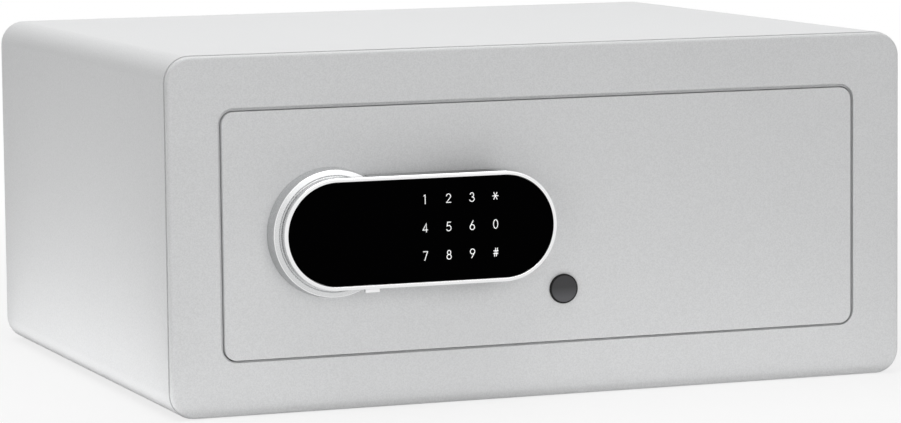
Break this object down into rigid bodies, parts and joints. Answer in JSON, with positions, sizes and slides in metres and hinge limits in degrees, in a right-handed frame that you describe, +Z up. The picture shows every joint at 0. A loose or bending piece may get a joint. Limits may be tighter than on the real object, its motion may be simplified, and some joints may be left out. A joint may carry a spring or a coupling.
{
  "type": "furniture safe",
  "caption": "Low steel furniture safe with a flush door, an oval lever that carries a black glass keypad, a capped key lock and sliding bolts inside the door.",
  "frame": {"origin": "centre of the base, on the surface that the safe stands on", "axes": "+X to the right of someone facing the door, +Y from the door to the back, +Z up"},
  "size_m": [0.43, 0.3654, 0.194],
  "materials": {
    "paint": "pale grey powder coat, satin, fine orange peel",
    "silver": "satin silver plating",
    "bezel": "polished",
    "glass": "gloss black touch panel with white digits",
    "cap": "matt dark grey",
    "steel": "bare, lightly oiled",
    "zinc": "bright zinc plating",
    "brass": "turned",
    "dark": "black moulded plastic",
    "board": "green circuit board",
    "cell": "plain battery sleeve",
    "felt": "dark needle felt",
    "red": "red push button"
  },
  "bodies": {
    "safe_body": {"body_wrap": "paint", "base_plate": "paint", "front_frame": "paint", "frame_lip": "paint", "back_panel": "paint", "floor_mat": "felt", "hinge_bracket_top": "steel", "hinge_bracket_bottom": "steel", "door_stop_upper": "steel", "door_stop_lower": "steel"},
    "door": {"door_plate": "paint", "door_return": "paint", "hinge_block_top": "steel", "hinge_block_bottom": "steel", "hinge_pin_top": "zinc", "hinge_pin_bottom": "zinc", "mechanism_cover": "paint", "cover_screw_1": "zinc", "cover_screw_2": "zinc", "cover_screw_3": "zinc", "cover_screw_4": "zinc", "cover_screw_5": "zinc", "cover_screw_6": "zinc", "bolt_guide": "steel", "lever_rose": "silver", "rose_screw_1": "zinc", "rose_screw_2": "zinc", "spindle_bush": "brass", "guide_pin_lower": "zinc", "guide_pin_upper": "zinc", "solenoid": "dark", "solenoid_bracket": "steel", "plunger_spring": "steel", "key_housing": "zinc", "key_nut": "zinc", "control_board": "board", "battery_case": "dark", "cell_1": "cell", "cell_2": "cell", "cell_3": "cell", "cell_4": "cell"},
    "bolts": {"bolt_carriage": "steel", "bolt_lower": "zinc", "bolt_upper": "zinc", "bolt_screw_lower": "zinc", "bolt_screw_upper": "zinc"},
    "lever": {"lever_body": "silver", "lever_bezel": "bezel", "glass_panel": "glass", "keypad_board": "board", "power_socket": "bezel", "spindle": "steel", "crank": "steel", "spindle_clip": "zinc"},
    "plunger": {"plunger": "zinc"},
    "key": {"key_plug": "brass", "key_cam": "steel"},
    "key_cap": {"key_cap": "cap"},
    "reset_button": {"reset_button": "red"},
    "battery_cover": {"battery_cover": "dark"}
  },
  "joints": [
    {"name": "door_hinge", "type": "hinge", "parent": "safe_body", "child": "door", "pos_m": [0.1606, -0.1673, 0.097], "axis": [0, 0, 1], "range_deg": [0, 100]},
    {"name": "lever_turn", "type": "hinge", "parent": "door", "child": "lever", "pos_m": [-0.1252, -0.175, 0.097], "axis": [0, 1, 0], "range_deg": [0, 35]},
    {"name": "bolt_slide", "type": "slide", "parent": "door", "child": "bolts", "axis": [-1, 0, 0], "range_m": [0, 0.0161]},
    {"name": "plunger_slide", "type": "slide", "parent": "door", "child": "plunger", "axis": [0, 0, -1], "range_m": [0, 0.004], "deforming": ["plunger_spring"]},
    {"name": "key_turn", "type": "hinge", "parent": "door", "child": "key", "pos_m": [0.0097, -0.175, 0.0592], "axis": [0, 1, 0], "range_deg": [0, 90]},
    {"name": "key_cap_pull", "type": "slide", "parent": "door", "child": "key_cap", "axis": [0, -1, 0], "range_m": [0, 0.008]},
    {"name": "reset_press", "type": "slide", "parent": "door", "child": "reset_button", "axis": [0, -1, 0], "range_m": [0, 0.0015], "stiffness_N_per_m": 300},
    {"name": "battery_cover_slide", "type": "slide", "parent": "door", "child": "battery_cover", "axis": [1, 0, 0], "range_m": [0, 0.058]}
  ],
  "couplings": [
    {"joint": "bolt_slide", "follows": "lever_turn", "m_per_rad": 0.026192}
  ]
}
